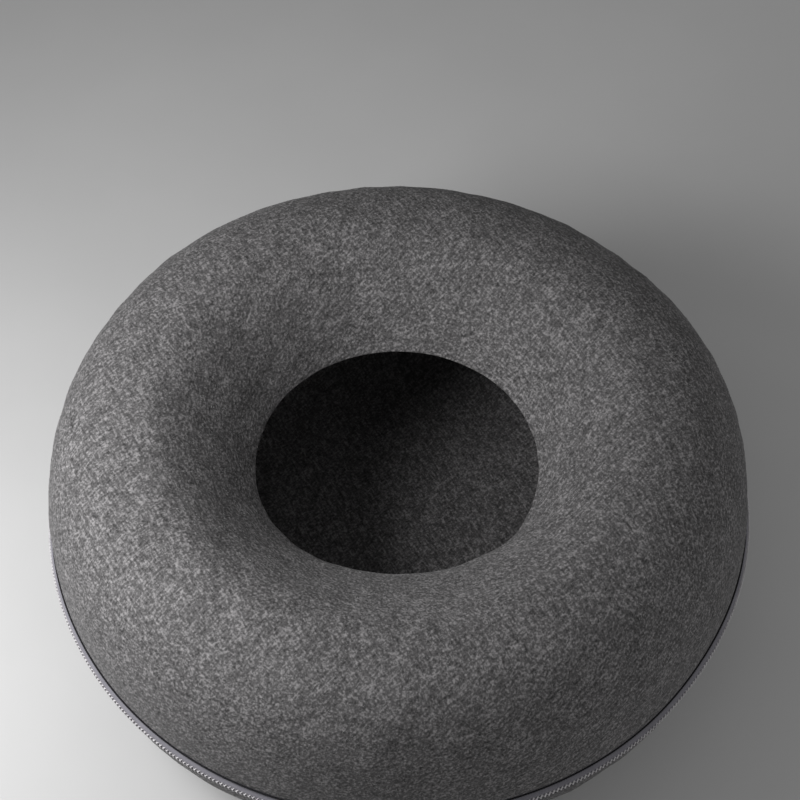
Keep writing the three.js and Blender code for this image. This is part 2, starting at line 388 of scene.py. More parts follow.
class Recipe:
    """A node material under construction."""

    def __init__(self, name: str) -> None:
        """Start an empty material of that name."""
        self.material = bpy.data.materials.new(name)
        self.material.use_nodes = True
        self.tree = self.material.node_tree
        self.tree.nodes.clear()

    def add(self, kind: str, inputs: dict[str | int, object], **settings: object) -> bpy.types.Node:
        """Add a node, set its options, and link or set its inputs.

        Args:
            kind: the node's type, without the ShaderNode in front.
            inputs: a socket to link or a value to set, by input name or number.
            settings: the node's own options.

        Returns:
            The node.
        """
        node = self.tree.nodes.new("ShaderNode" + kind)
        for option, value in settings.items():
            setattr(node, option, value)
        for key, value in inputs.items():
            if isinstance(value, bpy.types.NodeSocket):
                self.tree.links.new(value, node.inputs[key])
            else:
                node.inputs[key].default_value = value
        return node

    def place(self) -> bpy.types.NodeSocket:
        """The shaded point in the object's own coordinates."""
        return self.add("TexCoord", {}).outputs["Object"]

    def tag(self, name: str, output: str) -> bpy.types.NodeSocket:
        """A value that the mesh carries for each point."""
        return self.add("Attribute", {}, attribute_name=name).outputs[output]

    def math(self, operation: str, *terms: object) -> bpy.types.NodeSocket:
        """The result of a Math node on sockets or numbers."""
        return self.add("Math", dict(enumerate(terms)), operation=operation).outputs[0]

    def noise(self, grain: Grain, turn: tuple[float, float, float] = (0.0, 0.0, 0.0)) -> bpy.types.NodeSocket:
        """The value of a grain at the shaded point.

        Args:
            grain: the noise.
            turn: angles about X, Y and Z that turn the upright direction to the way the cells are drawn out.

        Returns:
            The socket of its value.
        """
        place = self.place()
        if grain.stretch != 1.0:
            inputs = {"Vector": place, "Rotation": turn, "Scale": (1.0, 1.0, grain.stretch)}
            place = self.add("Mapping", inputs, vector_type="TEXTURE").outputs["Vector"]
        inputs = {"Scale": grain.scale, "Detail": grain.detail, "Roughness": grain.roughness}
        return self.add("TexNoise", {"Vector": place, **inputs}).outputs["Fac"]

    def weighted(self, terms: list[tuple[bpy.types.NodeSocket, float]]) -> bpy.types.NodeSocket:
        """0.5 + the sum of weight * (value - 0.5) over the terms."""
        total = None
        rest = 0.5 - 0.5 * sum(weight for _, weight in terms)
        for value, weight in terms:
            total = self.math("MULTIPLY_ADD", value, weight, rest if total is None else total)
        return total

    def ramp(self, value: bpy.types.NodeSocket, stops: list[tuple[float, tuple]]) -> bpy.types.NodeSocket:
        """Colour of a value, straight between the stops' (place, colour)."""
        node = self.add("ValToRGB", {"Fac": value})
        elements = node.color_ramp.elements
        while len(elements) < len(stops):
            elements.new(0.5)
        for element, (where, colour) in zip(elements, stops):
            element.position = where
            element.color = (*colour, 1.0)
        return node.outputs["Color"]

    def bump(self, height: bpy.types.NodeSocket, strength: float, depth: float) -> bpy.types.NodeSocket:
        """Shading normal of a fine relief of that depth in metres."""
        return self.add("Bump", {"Strength": strength, "Distance": depth, "Height": height}).outputs["Normal"]

    def finish(self, inputs: dict[str, object]) -> bpy.types.Material:
        """Close the material with its surface shader, and return it."""
        shader = self.add("BsdfPrincipled", inputs)
        self.add("OutputMaterial", {"Surface": shader.outputs["BSDF"]})
        return self.material


def grey(level: float, tint: tuple[float, float, float]) -> tuple[float, float, float]:
    """A grey of that linear level, times a tint."""
    return tuple(level * channel for channel in tint)


@dataclass(frozen=True)
class FeltFinish:
    """Needled felt of light and dark fibres: short streaks that cross each other, flecks and faint blotches.

    Each row of streak_turns is the way that one set of streaks lies, as angles about X, Y and Z. The shares
    say how much each grain counts in the tone.
    """

    tint: tuple[float, float, float] = (1.02, 0.985, 1.0)
    dark: float = 0.022
    middle: float = 0.08
    light: float = 0.23
    tone_places: tuple[float, float, float] = (0.15, 0.5, 0.85)
    streak: Grain = Grain(scale=500.0, detail=2.5, roughness=0.6, stretch=4.6)
    streak_share: float = 0.9
    streak_turns: tuple[tuple[float, float, float], ...] = ((0.5, 0.2, 0.0), (1.5, 0.0, 0.5), (1.2, 0.0, 2.3))
    fleck: Grain = Grain(scale=700.0, detail=1.0, roughness=0.5)
    fleck_share: float = 0.5
    blotch: Grain = Grain(scale=45.0, detail=2.0, roughness=0.55)
    blotch_share: float = 0.22
    bump_strength: float = 0.3
    bump_depth: float = 0.5 * MM

    def material(self) -> bpy.types.Material:
        """Make the felt: streaks, flecks and blotches mixed into one tone, then coloured by a ramp."""
        recipe = Recipe("felt")
        streaks = [(recipe.noise(self.streak, turn), self.streak_share) for turn in self.streak_turns]
        relief = recipe.weighted([*streaks, (recipe.noise(self.fleck), self.fleck_share)])
        tone = recipe.weighted([(relief, 1.0), (recipe.noise(self.blotch), self.blotch_share)])
        levels = (self.dark, self.middle, self.light)
        colours = [grey(level, self.tint) for level in levels]
        colour = recipe.ramp(tone, list(zip(self.tone_places, colours)))
        return recipe.finish(
            {
                "Base Color": colour,
                "Roughness": 0.8,
                "Specular IOR Level": 0.3,
                "Sheen Weight": 0.04,
                "Sheen Roughness": 0.5,
                "Normal": recipe.bump(relief, self.bump_strength, self.bump_depth),
            }
        )


@dataclass(frozen=True)
class FibreFinish:
    """Loose fibres on the felt, each with a tone of its own."""

    dark: float = 0.05
    light: float = 0.42

    def material(self) -> bpy.types.Material:
        """Colour each fibre by the tone that its mesh carries."""
        recipe = Recipe("felt_fibres")
        stops = [(0.0, (self.dark,) * 3), (1.0, (self.light,) * 3)]
        colour = recipe.ramp(recipe.tag("tone", "Fac"), stops)
        return recipe.finish({"Base Color": colour, "Roughness": 0.8, "Specular IOR Level": 0.25})


@dataclass(frozen=True)
class TapeFinish:
    """Woven tape: fine slanting ribs in lavender grey."""

    radius: float = 0.298
    rib: float = 0.7 * MM
    rib_swing: float = 0.3
    rib_share: float = 0.9
    slant: float = 0.8
    fuzz: Grain = Grain(scale=900.0, detail=2.0, roughness=0.6)
    fuzz_share: float = 0.5
    wear: Grain = Grain(scale=60.0, detail=2.0, roughness=0.5)
    wear_share: float = 0.4
    deep: tuple[float, float, float] = (0.105, 0.102, 0.118)
    high: tuple[float, float, float] = (0.235, 0.228, 0.255)
    bump_strength: float = 0.5
    bump_depth: float = 0.2 * MM

    def material(self) -> bpy.types.Material:
        """Make the ribs: a sine of the distance round the ring plus slant times the height, then noise."""
        recipe = Recipe("zip_tape")
        axes = recipe.add("SeparateXYZ", {"Vector": recipe.place()}).outputs
        around = recipe.math("MULTIPLY", recipe.math("ARCTAN2", axes["Y"], axes["X"]), self.radius)
        twill = recipe.math("MULTIPLY_ADD", axes["Z"], self.slant, around)
        wave = recipe.math("SINE", recipe.math("MULTIPLY", twill, FULL_TURN / self.rib))
        rib = recipe.math("MULTIPLY_ADD", wave, self.rib_swing, 0.5)
        fuzz, wear = recipe.noise(self.fuzz), recipe.noise(self.wear)
        tone = recipe.weighted([(rib, self.rib_share), (fuzz, self.fuzz_share), (wear, self.wear_share)])
        colour = recipe.ramp(tone, [(0.1, self.deep), (0.9, self.high)])
        return recipe.finish(
            {
                "Base Color": colour,
                "Roughness": 0.82,
                "Specular IOR Level": 0.3,
                "Sheen Weight": 0.1,
                "Normal": recipe.bump(rib, self.bump_strength, self.bump_depth),
            }
        )


@dataclass(frozen=True)
class CoilFinish:
    """Satin nylon of the zip's coil, pale grey with a little dust in its tone."""

    dust: Grain = Grain(scale=240.0, detail=3.0, roughness=0.6)
    deep: tuple[float, float, float] = (0.40, 0.385, 0.405)
    high: tuple[float, float, float] = (0.60, 0.585, 0.60)
    smoothest: float = 0.3
    dulling: float = 0.25

    def material(self) -> bpy.types.Material:
        """Make the nylon: a soft noise in tone and roughness."""
        recipe = Recipe("zip_coil")
        dust = recipe.noise(self.dust)
        colour = recipe.ramp(dust, [(0.3, self.deep), (0.7, self.high)])
        rough = recipe.math("MULTIPLY_ADD", dust, self.dulling, self.smoothest)
        return recipe.finish({"Base Color": colour, "Roughness": rough, "Specular IOR Level": 0.5})


@dataclass(frozen=True)
class DarkLineFinish:
    """Nearly black finish of the line along each felt edge beside the zip, with a fine grain."""

    fine_grain: Grain = Grain(scale=2600.0, detail=2.0, roughness=0.6)
    deep: tuple[float, float, float] = (0.004, 0.004, 0.005)
    high: tuple[float, float, float] = (0.014, 0.014, 0.016)
    bump_strength: float = 0.5
    bump_depth: float = 0.15 * MM

    def material(self) -> bpy.types.Material:
        """Make the nearly black line: fine noise in tone and relief."""
        recipe = Recipe("edge_line_finish")
        fine_grain = recipe.noise(self.fine_grain)
        return recipe.finish(
            {
                "Base Color": recipe.ramp(fine_grain, [(0.3, self.deep), (0.7, self.high)]),
                "Roughness": 0.8,
                "Specular IOR Level": 0.2,
                "Normal": recipe.bump(fine_grain, self.bump_strength, self.bump_depth),
            }
        )


@dataclass(frozen=True)
class MetalFinish:
    """Cast zip metal in satin grey, rubbed a little brighter in places."""

    rub: Grain = Grain(scale=180.0, detail=4.0, roughness=0.6)
    casting: Grain = Grain(scale=2200.0, detail=2.0, roughness=0.5)
    deep: tuple[float, float, float] = (0.30, 0.30, 0.31)
    high: tuple[float, float, float] = (0.48, 0.48, 0.49)
    smoothest: float = 0.22
    dulling: float = 0.3
    bump_strength: float = 0.1
    bump_depth: float = 0.1 * MM

    def material(self) -> bpy.types.Material:
        """Make the metal: rubbing in tone and roughness, and a faint casting grain."""
        recipe = Recipe("zip_metal")
        rub = recipe.noise(self.rub)
        colour = recipe.ramp(rub, [(0.35, self.deep), (0.7, self.high)])
        rough = recipe.math("MULTIPLY_ADD", rub, self.dulling, self.smoothest)
        normal = recipe.bump(recipe.noise(self.casting), self.bump_strength, self.bump_depth)
        return recipe.finish({"Base Color": colour, "Metallic": 0.9, "Roughness": rough, "Normal": normal})


# Felt


@dataclass
class FeltShell:
    """One moulded felt half, as a sheet over its outside line.

    A place on it is (azimuth, station, lift): station is the distance along the outside line, and lift the
    height above it, so that the inside is at minus the felt's thickness. Rows lie closer in the edge zone
    beside the zip. cut_reach is how far the rounded cut edge stands out past the last row.
    """

    form: RingForm
    half: Half
    around: int = 420
    edge_rows: int = 22
    inside_edge_rows: int = 7
    edge_zone: float = 13 * MM
    outside_step: float = 3.0 * MM
    inside_step: float = 5.5 * MM
    cut_reach: float = 1.3 * MM
    cut_power: float = 2.6
    cut_rows: int = 7
    lump_height: float = 0.28 * MM
    lumps_from: float = 4 * MM
    lumps_full: float = 30 * MM
    lumps: WaveField = WaveField(seed=11, waves=40, shortest=0.018, longest=0.070)

    def __post_init__(self) -> None:
        """Work out the outside line, its normals and its length."""
        self.line = self.form.outside(self.half)
        steps = np.linalg.norm(np.diff(self.line, axis=0), axis=1)
        self.along = np.concatenate([[0.0], np.cumsum(steps)])
        self.length = float(self.along[-1])
        heading = unit(np.gradient(self.line, self.along, axis=0))
        self.normal = np.column_stack([heading[:, 1], -heading[:, 0]])

    def from_zip(self, station: np.ndarray) -> np.ndarray:
        """Distance of a station from the felt edge beside the zip."""
        return station if self.half is Half.UPPER else self.length - station

    def radius_at(self, station: np.ndarray) -> np.ndarray:
        """Distance of a station from the ring's axis."""
        return np.interp(station, self.along, self.line[:, 0])

    def place(self, azimuth: np.ndarray, station: np.ndarray, lift: np.ndarray) -> np.ndarray:
        """Points of the sheet: line(station) + lift * normal(station), turned, settled and a little lumpy.

        Args:
            azimuth: in radians. The three arrays broadcast together.
            station: distance along the outside line.
            lift: height above the outside.

        Returns:
            Points, with a last axis of 3.
        """
        azimuth, station, lift = np.broadcast_arrays(azimuth, station, lift)
        line = [np.interp(station, self.along, column) for column in self.line.T]
        normal = [np.interp(station, self.along, column) for column in self.normal.T]
        base = self.form.turned(azimuth, line[0], line[1])
        fade = smooth_step(self.from_zip(station), self.lumps_from, self.lumps_full)
        fade = fade * smooth_step(line[1], 0.0, self.form.still_height)
        rise = lift + self.lump_height * fade * self.lumps.at(base)
        return self.form.turned(azimuth, line[0] + rise * normal[0], line[1] + rise * normal[1])

    def stations(self, step: float, edge_rows: int) -> np.ndarray:
        """Stations over the sheet, close together beside the zip and a step apart elsewhere."""
        start = self.cut_reach
        finish = self.length - (self.cut_reach if self.half is Half.UPPER else step)
        near = np.linspace(start, self.edge_zone, edge_rows, endpoint=False)
        far = np.linspace(self.edge_zone, finish, round((finish - self.edge_zone) / step))
        rows = np.concatenate([near, far])
        return rows if self.half is Half.UPPER else (self.length - rows)[::-1]

    def cut(self, station: float, direction: int) -> np.ndarray:
        """Rounded cut edge from outside to inside, as (station, lift): half of a squared-off ellipse."""
        angle = np.linspace(0.0, math.pi, self.cut_rows + 2)[1:-1]
        reach = self.cut_reach * signed_power(np.sin(angle), 2 / self.cut_power)
        rise = (signed_power(np.cos(angle), 2 / self.cut_power) - 1) * self.form.felt / 2
        return np.column_stack([station + direction * reach, rise])

    def section(self) -> np.ndarray:
        """The sheet's section as (station, lift): outside, cut, inside, and the upper half's second cut."""
        outer = self.stations(self.outside_step, self.edge_rows)
        inner = self.stations(self.inside_step, self.inside_edge_rows)[::-1]
        parts = [
            np.column_stack([outer, np.zeros_like(outer)]),
            self.cut(outer[-1], 1),
            np.column_stack([inner, np.full_like(inner, -self.form.felt)]),
        ]
        if self.half is Half.UPPER:
            parts.append(self.cut(outer[0], -1)[::-1])
        return np.concatenate(parts)

    def patch(self) -> Patch:
        """The felt as a grid of azimuths by section, closed round the ring, and at the axis by fans."""
        section = self.section()
        azimuth = np.arange(self.around) / self.around * FULL_TURN
        points = self.place(azimuth[:, None], section[:, 0], section[:, 1])
        rows, columns = points.shape[:2]
        closed = self.half is Half.UPPER
        faces = [grid_faces(rows, columns, True, closed)]
        points = points.reshape(-1, 3)
        if not closed:
            start = len(points)
            rim = np.arange(rows) * columns
            faces += [fan_faces(rim, start, False), fan_faces(rim + columns - 1, start + 1, True)]
            points = np.concatenate([points, [[0.0, 0.0, 0.0], [0.0, 0.0, self.form.felt]]])
        return Patch(points, faces)


@dataclass
class FibreCoat:
    """Loose fibres that lie on the outside of a felt half: slim closed spindles in low arches.

    heading is the way they lie on the whole, wander how far the felt's flow turns it, and scatter how far
    each strays. The ranges are shares: of the thickness, of the arch, and of the length for the bow.
    """

    shell: FeltShell
    count: int
    seed: int
    shortest: float = 2.2 * MM
    longest: float = 6.0 * MM
    thickness: float = 0.085 * MM
    arch: float = 0.22 * MM
    root: float = 0.10 * MM
    heading: float = 0.9
    wander: float = 0.8
    scatter: float = 0.65
    clear_of_cuts: float = 2.0 * MM
    off_floor: float = 2 * MM
    thick_range: tuple[float, float] = (0.6, 1.3)
    arch_range: tuple[float, float] = (0.3, 1.3)
    bow_range: tuple[float, float] = (-0.18, 0.18)
    tone_spread: tuple[float, float] = (1.3, 1.1)
    samples: int = 4000
    flow: WaveField = WaveField(seed=23, waves=12, shortest=0.10, longest=0.30)

    def patch(self) -> Patch:
        """Scatter the fibres evenly by area, along the felt's flow: spindles of two tips and three corners.

        A fibre's middle stands an arch above the felt, and its tips are rooted just under the surface.
        """
        shell, dice = self.shell, np.random.default_rng(self.seed)
        station = np.linspace(0.0, shell.length, self.samples)
        share = np.cumsum(shell.radius_at(station))
        middle = np.interp(dice.uniform(0.0, share[-1], self.count), share, station)
        azimuth = dice.uniform(0.0, FULL_TURN, self.count)
        length = dice.uniform(self.shortest, self.longest, self.count)
        keep = shell.from_zip(middle) > self.clear_of_cuts + length / 2
        keep &= shell.length - shell.from_zip(middle) > self.clear_of_cuts + length / 2
        keep &= np.interp(middle, shell.along, shell.line[:, 1]) > self.off_floor
        middle, azimuth, length = middle[keep], azimuth[keep], length[keep]
        count = len(middle)
        heading = self.heading + self.wander * self.flow.at(shell.place(azimuth, middle, 0.0))
        heading = heading + dice.normal(0.0, self.scatter, count)
        thick = self.thickness * dice.uniform(*self.thick_range, count)
        arch = self.arch * dice.uniform(*self.arch_range, count)
        bow = length * dice.uniform(*self.bow_range, count)
        # Five points a fibre, the tips first: shares of its length, thickness, bow and arch.
        tips, ring = np.array([1, 1, 0, 0, 0]), np.array([0, 0, 1, 1, 1])
        along = np.array([-0.5, 0.5, 0.0, 0.0, 0.0]) * length[:, None]
        across = np.array([0.0, 0.0, 0.0, -1.0, 1.0]) * thick[:, None] + ring * bow[:, None]
        up = ring * arch[:, None] + np.array([0.0, 0.0, 1.0, -0.6, -0.6]) * thick[:, None]
        up = up - tips * self.root
        turn, tilt = np.cos(heading)[:, None], np.sin(heading)[:, None]
        around = (along * turn - across * tilt) / shell.radius_at(middle)[:, None]
        over = along * tilt + across * turn
        points = shell.place(azimuth[:, None] + around, middle[:, None] + over, up)
        one = np.array([[4, 3, 0], [2, 4, 0], [3, 2, 0], [3, 4, 1], [4, 2, 1], [2, 3, 1]])
        tone = dice.beta(*self.tone_spread, count)
        each = points.shape[1]
        return Patch(points.reshape(-1, 3), [repeated(one, count, each)], {"tone": np.repeat(tone, each)})


@dataclass
class EdgeDarkLine:
    """A nearly black tube along a felt edge beside the zip: one tube round the ring, full once every pitch.
    """

    form: RingForm
    half: Half
    dark_line: float = 0.75 * MM
    stand: float = 0.55 * MM
    below: float = 0.3 * MM
    pitch: float = 2.2 * MM
    swell: float = 0.14
    steps: int = 5
    sides: int = 6

    def patch(self) -> Patch:
        """A tube along the edge whose radius is its size * (1 + swell * cos(turns of the pitch))."""
        form = self.form
        radius = form.waist_radius + self.stand
        count = round(FULL_TURN * radius / self.pitch) * self.steps
        step = np.arange(count)
        angle = np.arange(self.sides) / self.sides * FULL_TURN
        size = self.dark_line * (1 + self.swell * np.cos(step * FULL_TURN / self.steps))[:, None]
        height = form.zip_level + self.half.value * (form.seam_gap / 2 - self.below)
        azimuth = (step / count * FULL_TURN)[:, None]
        points = form.turned(azimuth, radius + size * np.cos(angle), height + size * np.sin(angle))
        return Patch(points.reshape(-1, 3), [grid_faces(count, self.sides, True, True)])


# Zip


@dataclass(frozen=True)
class ZipForm:
    """Sizes of the zip and where it lies, from the ring's form.

    fit is the gap between neighbouring pieces. A tape laps behind the felt, with its end tucked in, and
    flares out to the coil. The chain breaks at the back, where the slider grips its end.
    """

    form: RingForm
    fit: float = 0.4 * MM
    tape: float = 1.0 * MM
    tape_inset: float = 0.8 * MM
    tape_lap: float = 12 * MM
    tape_slit: float = 0.9 * MM
    upper_tuck: float = 0.8 * MM
    lower_tuck: float = 2.2 * MM
    tape_flare: float = 6.8 * MM
    coil_width: float = 5.6 * MM
    coil_depth: float = 2.0 * MM
    coil_break: float = 12 * MM
    slider_length: float = 14 * MM
    slider_height: float = 8.8 * MM
    slider_plate: float = 1.2 * MM
    slider_grip: float = 5 * MM
    bail_rise: float = 2 * MM

    @property
    def tape_face(self) -> float:
        """Outside of the tape behind the felt."""
        return self.form.waist_radius - self.form.felt - self.tape_inset

    @property
    def coil_seat(self) -> float:
        """Outside of the tape under the coil."""
        return self.tape_face + self.tape_flare

    @property
    def coil_back(self) -> float:
        """Inside of the coil."""
        return self.coil_seat + self.fit

    @property
    def plate_top(self) -> float:
        """Outside of the slider's outer plate, as a distance towards +Y."""
        return self.coil_back + self.coil_depth + self.fit + self.slider_plate

    @property
    def slider_middle(self) -> float:
        """Middle of the slider along X."""
        return self.slider_grip - (self.coil_break + self.slider_length) / 2


@dataclass
class ZipTape:
    """Half of the zip's tape: flat behind the felt, leaning out to the slit, where the coil is sewn on.

    rise brings it out under the coil, so that no dark gap shows between them.
    """

    zip: ZipForm
    half: Half
    rise: float = 1.0 * MM
    around: int = 420
    rounds: int = 3
    corner_cut: float = 0.25
    edge_rows: int = 4
    edge_reach: float = 0.6

    def face(self) -> np.ndarray:
        """Outside line as (radius, height above the zip's middle), its corners rounded by repeated cuts."""
        z = self.zip
        tuck = z.upper_tuck if self.half is Half.UPPER else z.lower_tuck
        line = np.array(
            [
                (z.coil_seat + self.rise, z.tape_slit),
                (z.coil_seat + self.rise, z.coil_width / 2 + z.fit),
                (z.tape_face, z.form.seam_gap / 2 - z.fit),
                (z.tape_face - tuck, z.form.seam_gap / 2 + z.tape_lap),
            ]
        )
        for _ in range(self.rounds):
            before, after = line[:-1], line[1:]
            near = (1 - self.corner_cut) * before + self.corner_cut * after
            far = self.corner_cut * before + (1 - self.corner_cut) * after
            cut = np.stack([near, far], axis=1).reshape(-1, 2)
            line = np.concatenate([line[:1], cut, line[-1:]])
        return line

    def patch(self) -> Patch:
        """The tape as a ring: the face, then the back one thickness further in, with rounded edges."""
        face = self.face()
        angle = np.linspace(0.0, math.pi, self.edge_rows + 2)[1:-1]
        half_tape = self.zip.tape / 2
        edge = half_tape * np.column_stack([np.cos(angle) - 1, self.edge_reach * np.sin(angle)])
        back = face[::-1] - [self.zip.tape, 0.0]
        section = np.concatenate([face, face[-1] + edge, back, (face[0] + edge * [1, -1])[::-1]])
        if self.half is Half.LOWER:
            section = section[::-1]
        azimuth = np.arange(self.around) / self.around * FULL_TURN
        height = self.zip.form.zip_level + self.half.value * section[:, 1]
        points = self.zip.form.turned(azimuth[:, None], section[:, 0], height)
        return Patch(points.reshape(-1, 3), [grid_faces(self.around, len(section), True, True)])


@dataclass
class ZipCoil:
    """One of the two nylon coils, whose loops hook between those of the other.

    hook is how far the loops reach past the zip's middle, bed how deep they sit in the tape, and stagger the
    share of a pitch by which each coil is shifted.
    """

    zip: ZipForm
    half: Half
    pitch: float = 3.6 * MM
    wire: float = 0.56 * MM
    hook: float = 0.1 * MM
    bed: float = 0.3 * MM
    upper_stand: float = 0.35 * MM
    stagger: float = 0.25
    steps: int = 12
    sides: int = 5

    def patch(self) -> Patch:
        """The coil as one tube along a flattened helix.

        radius = seat + depth * cos(t) and height = side + width * sin(t), while t / turn * pitch runs round
        the ring from one end of the zip to the other. The two coils are half a pitch apart, bedded a little
        into the tapes, and the upper one stands out a little further.
        """
        z, sign = self.zip, self.half.value
        stand = self.upper_stand if self.half is Half.UPPER else 0.0
        depth = (z.coil_depth + self.bed + stand) / 2 - self.wire
        width = (z.coil_width / 2 - self.wire + self.hook) / 2
        seat = z.coil_back + (z.coil_depth - self.bed + stand) / 2
        reach = FULL_TURN - (z.coil_break + self.pitch) / seat
        turns = math.floor(reach * seat / self.pitch - 1)
        t = np.linspace(0.0, turns * FULL_TURN, turns * self.steps + 1)
        start = math.pi / 2 + (FULL_TURN - turns * self.pitch / seat) / 2
        azimuth = start + (t / FULL_TURN + self.stagger * sign) * self.pitch / seat
        radius = seat + depth * np.cos(t)
        side = width - self.hook
        height = z.form.zip_level + sign * (side + width * np.sin(t))
        path = z.form.turned(azimuth, radius, height)
        aims = z.form.turned(azimuth, radius + MM * np.cos(t), height + sign * MM * np.sin(t)) - path
        return tubes(path[None], aims[None], np.full((1, len(t)), self.wire), self.sides)


def slab(outline: np.ndarray, low: float, high: float, edge: float, rows: int = 4) -> Patch:
    """Flat plate with rounded edges, in the X-Z plane, closed by a fan on each face.

    Args:
        outline: (n, 2) points of (x, z) about the plate's own middle, anticlockwise as seen from -Y.
        low: y of the lower face.
        high: y of the upper face.
        edge: radius of the rounded edges.
        rows: points over each rounded edge.

    Returns:
        A patch: the outline drawn in by edge * (1 - sin a) at y = face -+ edge * (1 - cos a).
    """
    angle = np.linspace(0.0, math.pi / 2, rows)
    inset = np.concatenate([edge * (1 - np.sin(angle)), edge * (1 - np.sin(angle[::-1]))])
    level = np.concatenate([low + edge * (1 - np.cos(angle)), high - edge * (1 - np.cos(angle[::-1]))])
    size = np.linalg.norm(outline, axis=1)
    ring = outline[None] * (1 - inset[:, None] / size)[..., None]
    points = np.stack([ring[..., 0], np.broadcast_to(level[:, None], ring.shape[:2]), ring[..., 1]], axis=-1)
    rows_all, count = points.shape[:2]
    rim = np.arange(count)
    poles = np.array([[0.0, low, 0.0], [0.0, high, 0.0]])
    end = rows_all * count
    top = rim + (rows_all - 1) * count
    faces = [grid_faces(rows_all, count, False, True)]
    faces += [fan_faces(rim, end, True), fan_faces(top, end + 1, False)]
    return Patch(np.concatenate([points.reshape(-1, 3), poles]), faces)


def superellipse(half_length: float, half_height: float, power: float, count: int) -> np.ndarray:
    """Closed outline |x/a|^power + |z/b|^power = 1 as (x, z) points."""
    angle = np.arange(count) / count * FULL_TURN
    x = half_length * signed_power(np.cos(angle), 2 / power)
    z = half_height * signed_power(np.sin(angle), 2 / power)
    return np.column_stack([x, z])


@dataclass
class ZipSlider:
    """Slider at the end of the zip: two plates, a neck, flanges round the coil and a bail for the pull."""

    zip: ZipForm
    plate_power: float = 4.0
    waist_depth: float = 0.16
    waist_place: float = -0.25
    waist_spread: float = 0.18
    flange: float = 1.0 * MM
    flange_depth: float = 2.0 * MM
    flange_power: float = 6.0
    flange_corner: float = 0.3 * MM
    neck_length: float = 4.2 * MM
    neck_corner: float = 0.1 * MM
    bail_bar: float = 0.55 * MM
    bail_length: float = 10.4 * MM
    bail_sink: float = 0.3 * MM
    bail_bend: float = 0.6
    bail_steps: int = 21
    bail_sides: int = 8
    corner: float = 0.45 * MM
    count: int = 40

    def moved(self, patch: Patch, x: float, z: float = 0.0) -> Patch:
        """The patch set along the zip by x, and z above its middle."""
        return Patch(patch.points + [x, 0.0, self.zip.form.zip_level + z], patch.faces)

    def patch(self) -> Patch:
        """All of the slider as one patch: two plates, the outer one waisted, neck, flanges and bail."""
        z = self.zip
        inner_face = z.coil_seat - z.tape - z.tape_flare / 2
        outer_face = z.plate_top - z.slider_plate
        half_length, half_height = z.slider_length / 2, z.slider_height / 2
        plate = superellipse(half_length, half_height, self.plate_power, self.count)
        from_waist = plate[:, 0] / half_length - self.waist_place
        waist = 1 - self.waist_depth * np.exp(-(from_waist**2) / self.waist_spread)
        shield = plate * np.column_stack([np.ones(self.count), waist])
        rim = superellipse(half_length, self.flange / 2, self.flange_power, self.count)
        neck = superellipse(self.neck_length / 2, z.tape_slit - z.fit, self.plate_power, self.count)
        neck_low, neck_high = inner_face - self.corner, outer_face + self.corner
        neck_x = z.fit + (self.neck_length - z.coil_break) / 2
        x = z.slider_middle
        parts = [
            self.moved(slab(shield, outer_face, z.plate_top, self.corner), x),
            self.moved(slab(plate, inner_face - z.slider_plate, inner_face, self.corner), x),
            self.moved(slab(neck, neck_low, neck_high, self.neck_corner), neck_x),
        ]
        for side in (-1, 1):
            flange = slab(rim, outer_face - self.flange_depth, outer_face + self.corner, self.flange_corner)
            parts.append(self.moved(flange, x, side * (half_height - self.flange / 2)))
        return Patch.joined([*parts, self.bail()])

    def bail(self) -> Patch:
        """The bail that holds the pull: a bar along half of a squared-off ellipse, its ends in the plate."""
        z = self.zip
        angle = np.linspace(0.0, math.pi, self.bail_steps)
        rise = z.bail_rise + self.bail_sink + self.bail_bar
        path = np.zeros((1, len(angle), 3))
        path[0, :, 0] = z.slider_middle + self.bail_length / 2 * signed_power(np.cos(angle), self.bail_bend)
        path[0, :, 1] = z.plate_top - self.bail_sink + rise * signed_power(np.sin(angle), self.bail_bend)
        path[0, :, 2] = z.form.zip_level
        aims = np.zeros_like(path)
        aims[..., 2] = 1.0
        return tubes(path, aims, np.full(path.shape[:2], self.bail_bar), self.bail_sides)


@dataclass
class ZipPull:
    """Pull tab that lies along the zip, its slotted end round the bail."""

    zip: ZipForm
    length: float = 31 * MM
    height: float = 7.0 * MM
    bar: float = 2.4 * MM
    eye_length: float = 6.2 * MM
    eye_height: float = 3.6 * MM
    eye_power: float = 4.0
    tab_power: float = 5.0
    edge_bend: float = 0.5
    edge_points: int = 12
    count: int = 72

    def patch(self) -> Patch:
        """A flat ring with rounded edges, spanned from eye to outline by rays from the eye's middle."""
        z = self.zip
        depth = z.bail_rise - 2 * z.fit
        angle = np.arange(self.count) / self.count * FULL_TURN
        ray = np.column_stack([np.cos(angle), np.sin(angle)])
        eye_x = self.bar + self.eye_length / 2
        eye = self.meet(ray, self.eye_length / 2, self.eye_length / 2, self.eye_height / 2, self.eye_power)
        tab = self.meet(ray, eye_x, self.length - eye_x, self.height / 2, self.tab_power)
        turn = np.linspace(0.0, FULL_TURN, self.edge_points, endpoint=False)
        level = (depth / 2) * signed_power(np.sin(turn), self.edge_bend)
        share = (1 + signed_power(np.cos(turn), self.edge_bend)) / 2
        reach = eye[:, None] + (tab - eye)[:, None] * share
        rings = ray[:, None] * reach[..., None]
        bottom = z.plate_top + z.fit
        left = z.slider_middle - self.bar / 2
        x = left + eye_x + rings[..., 0]
        y = np.broadcast_to(bottom + depth / 2 + level, x.shape)
        points = np.stack([x, y, z.form.zip_level + rings[..., 1]], axis=-1)
        return Patch(points.reshape(-1, 3), [grid_faces(self.count, len(turn), True, True)[:, ::-1]])

    def meet(self, ray: np.ndarray, left: float, right: float, half: float, power: float) -> np.ndarray:
        """Distance along rays to an outline of unequal left and right reach: (|c/a|^p + |s/b|^p)^(-1/p)."""
        reach = np.where(ray[:, 0] < 0, left, right)
        return (np.abs(ray[:, 0] / reach) ** power + np.abs(ray[:, 1] / half) ** power) ** (-1 / power)


# The bed and its setting


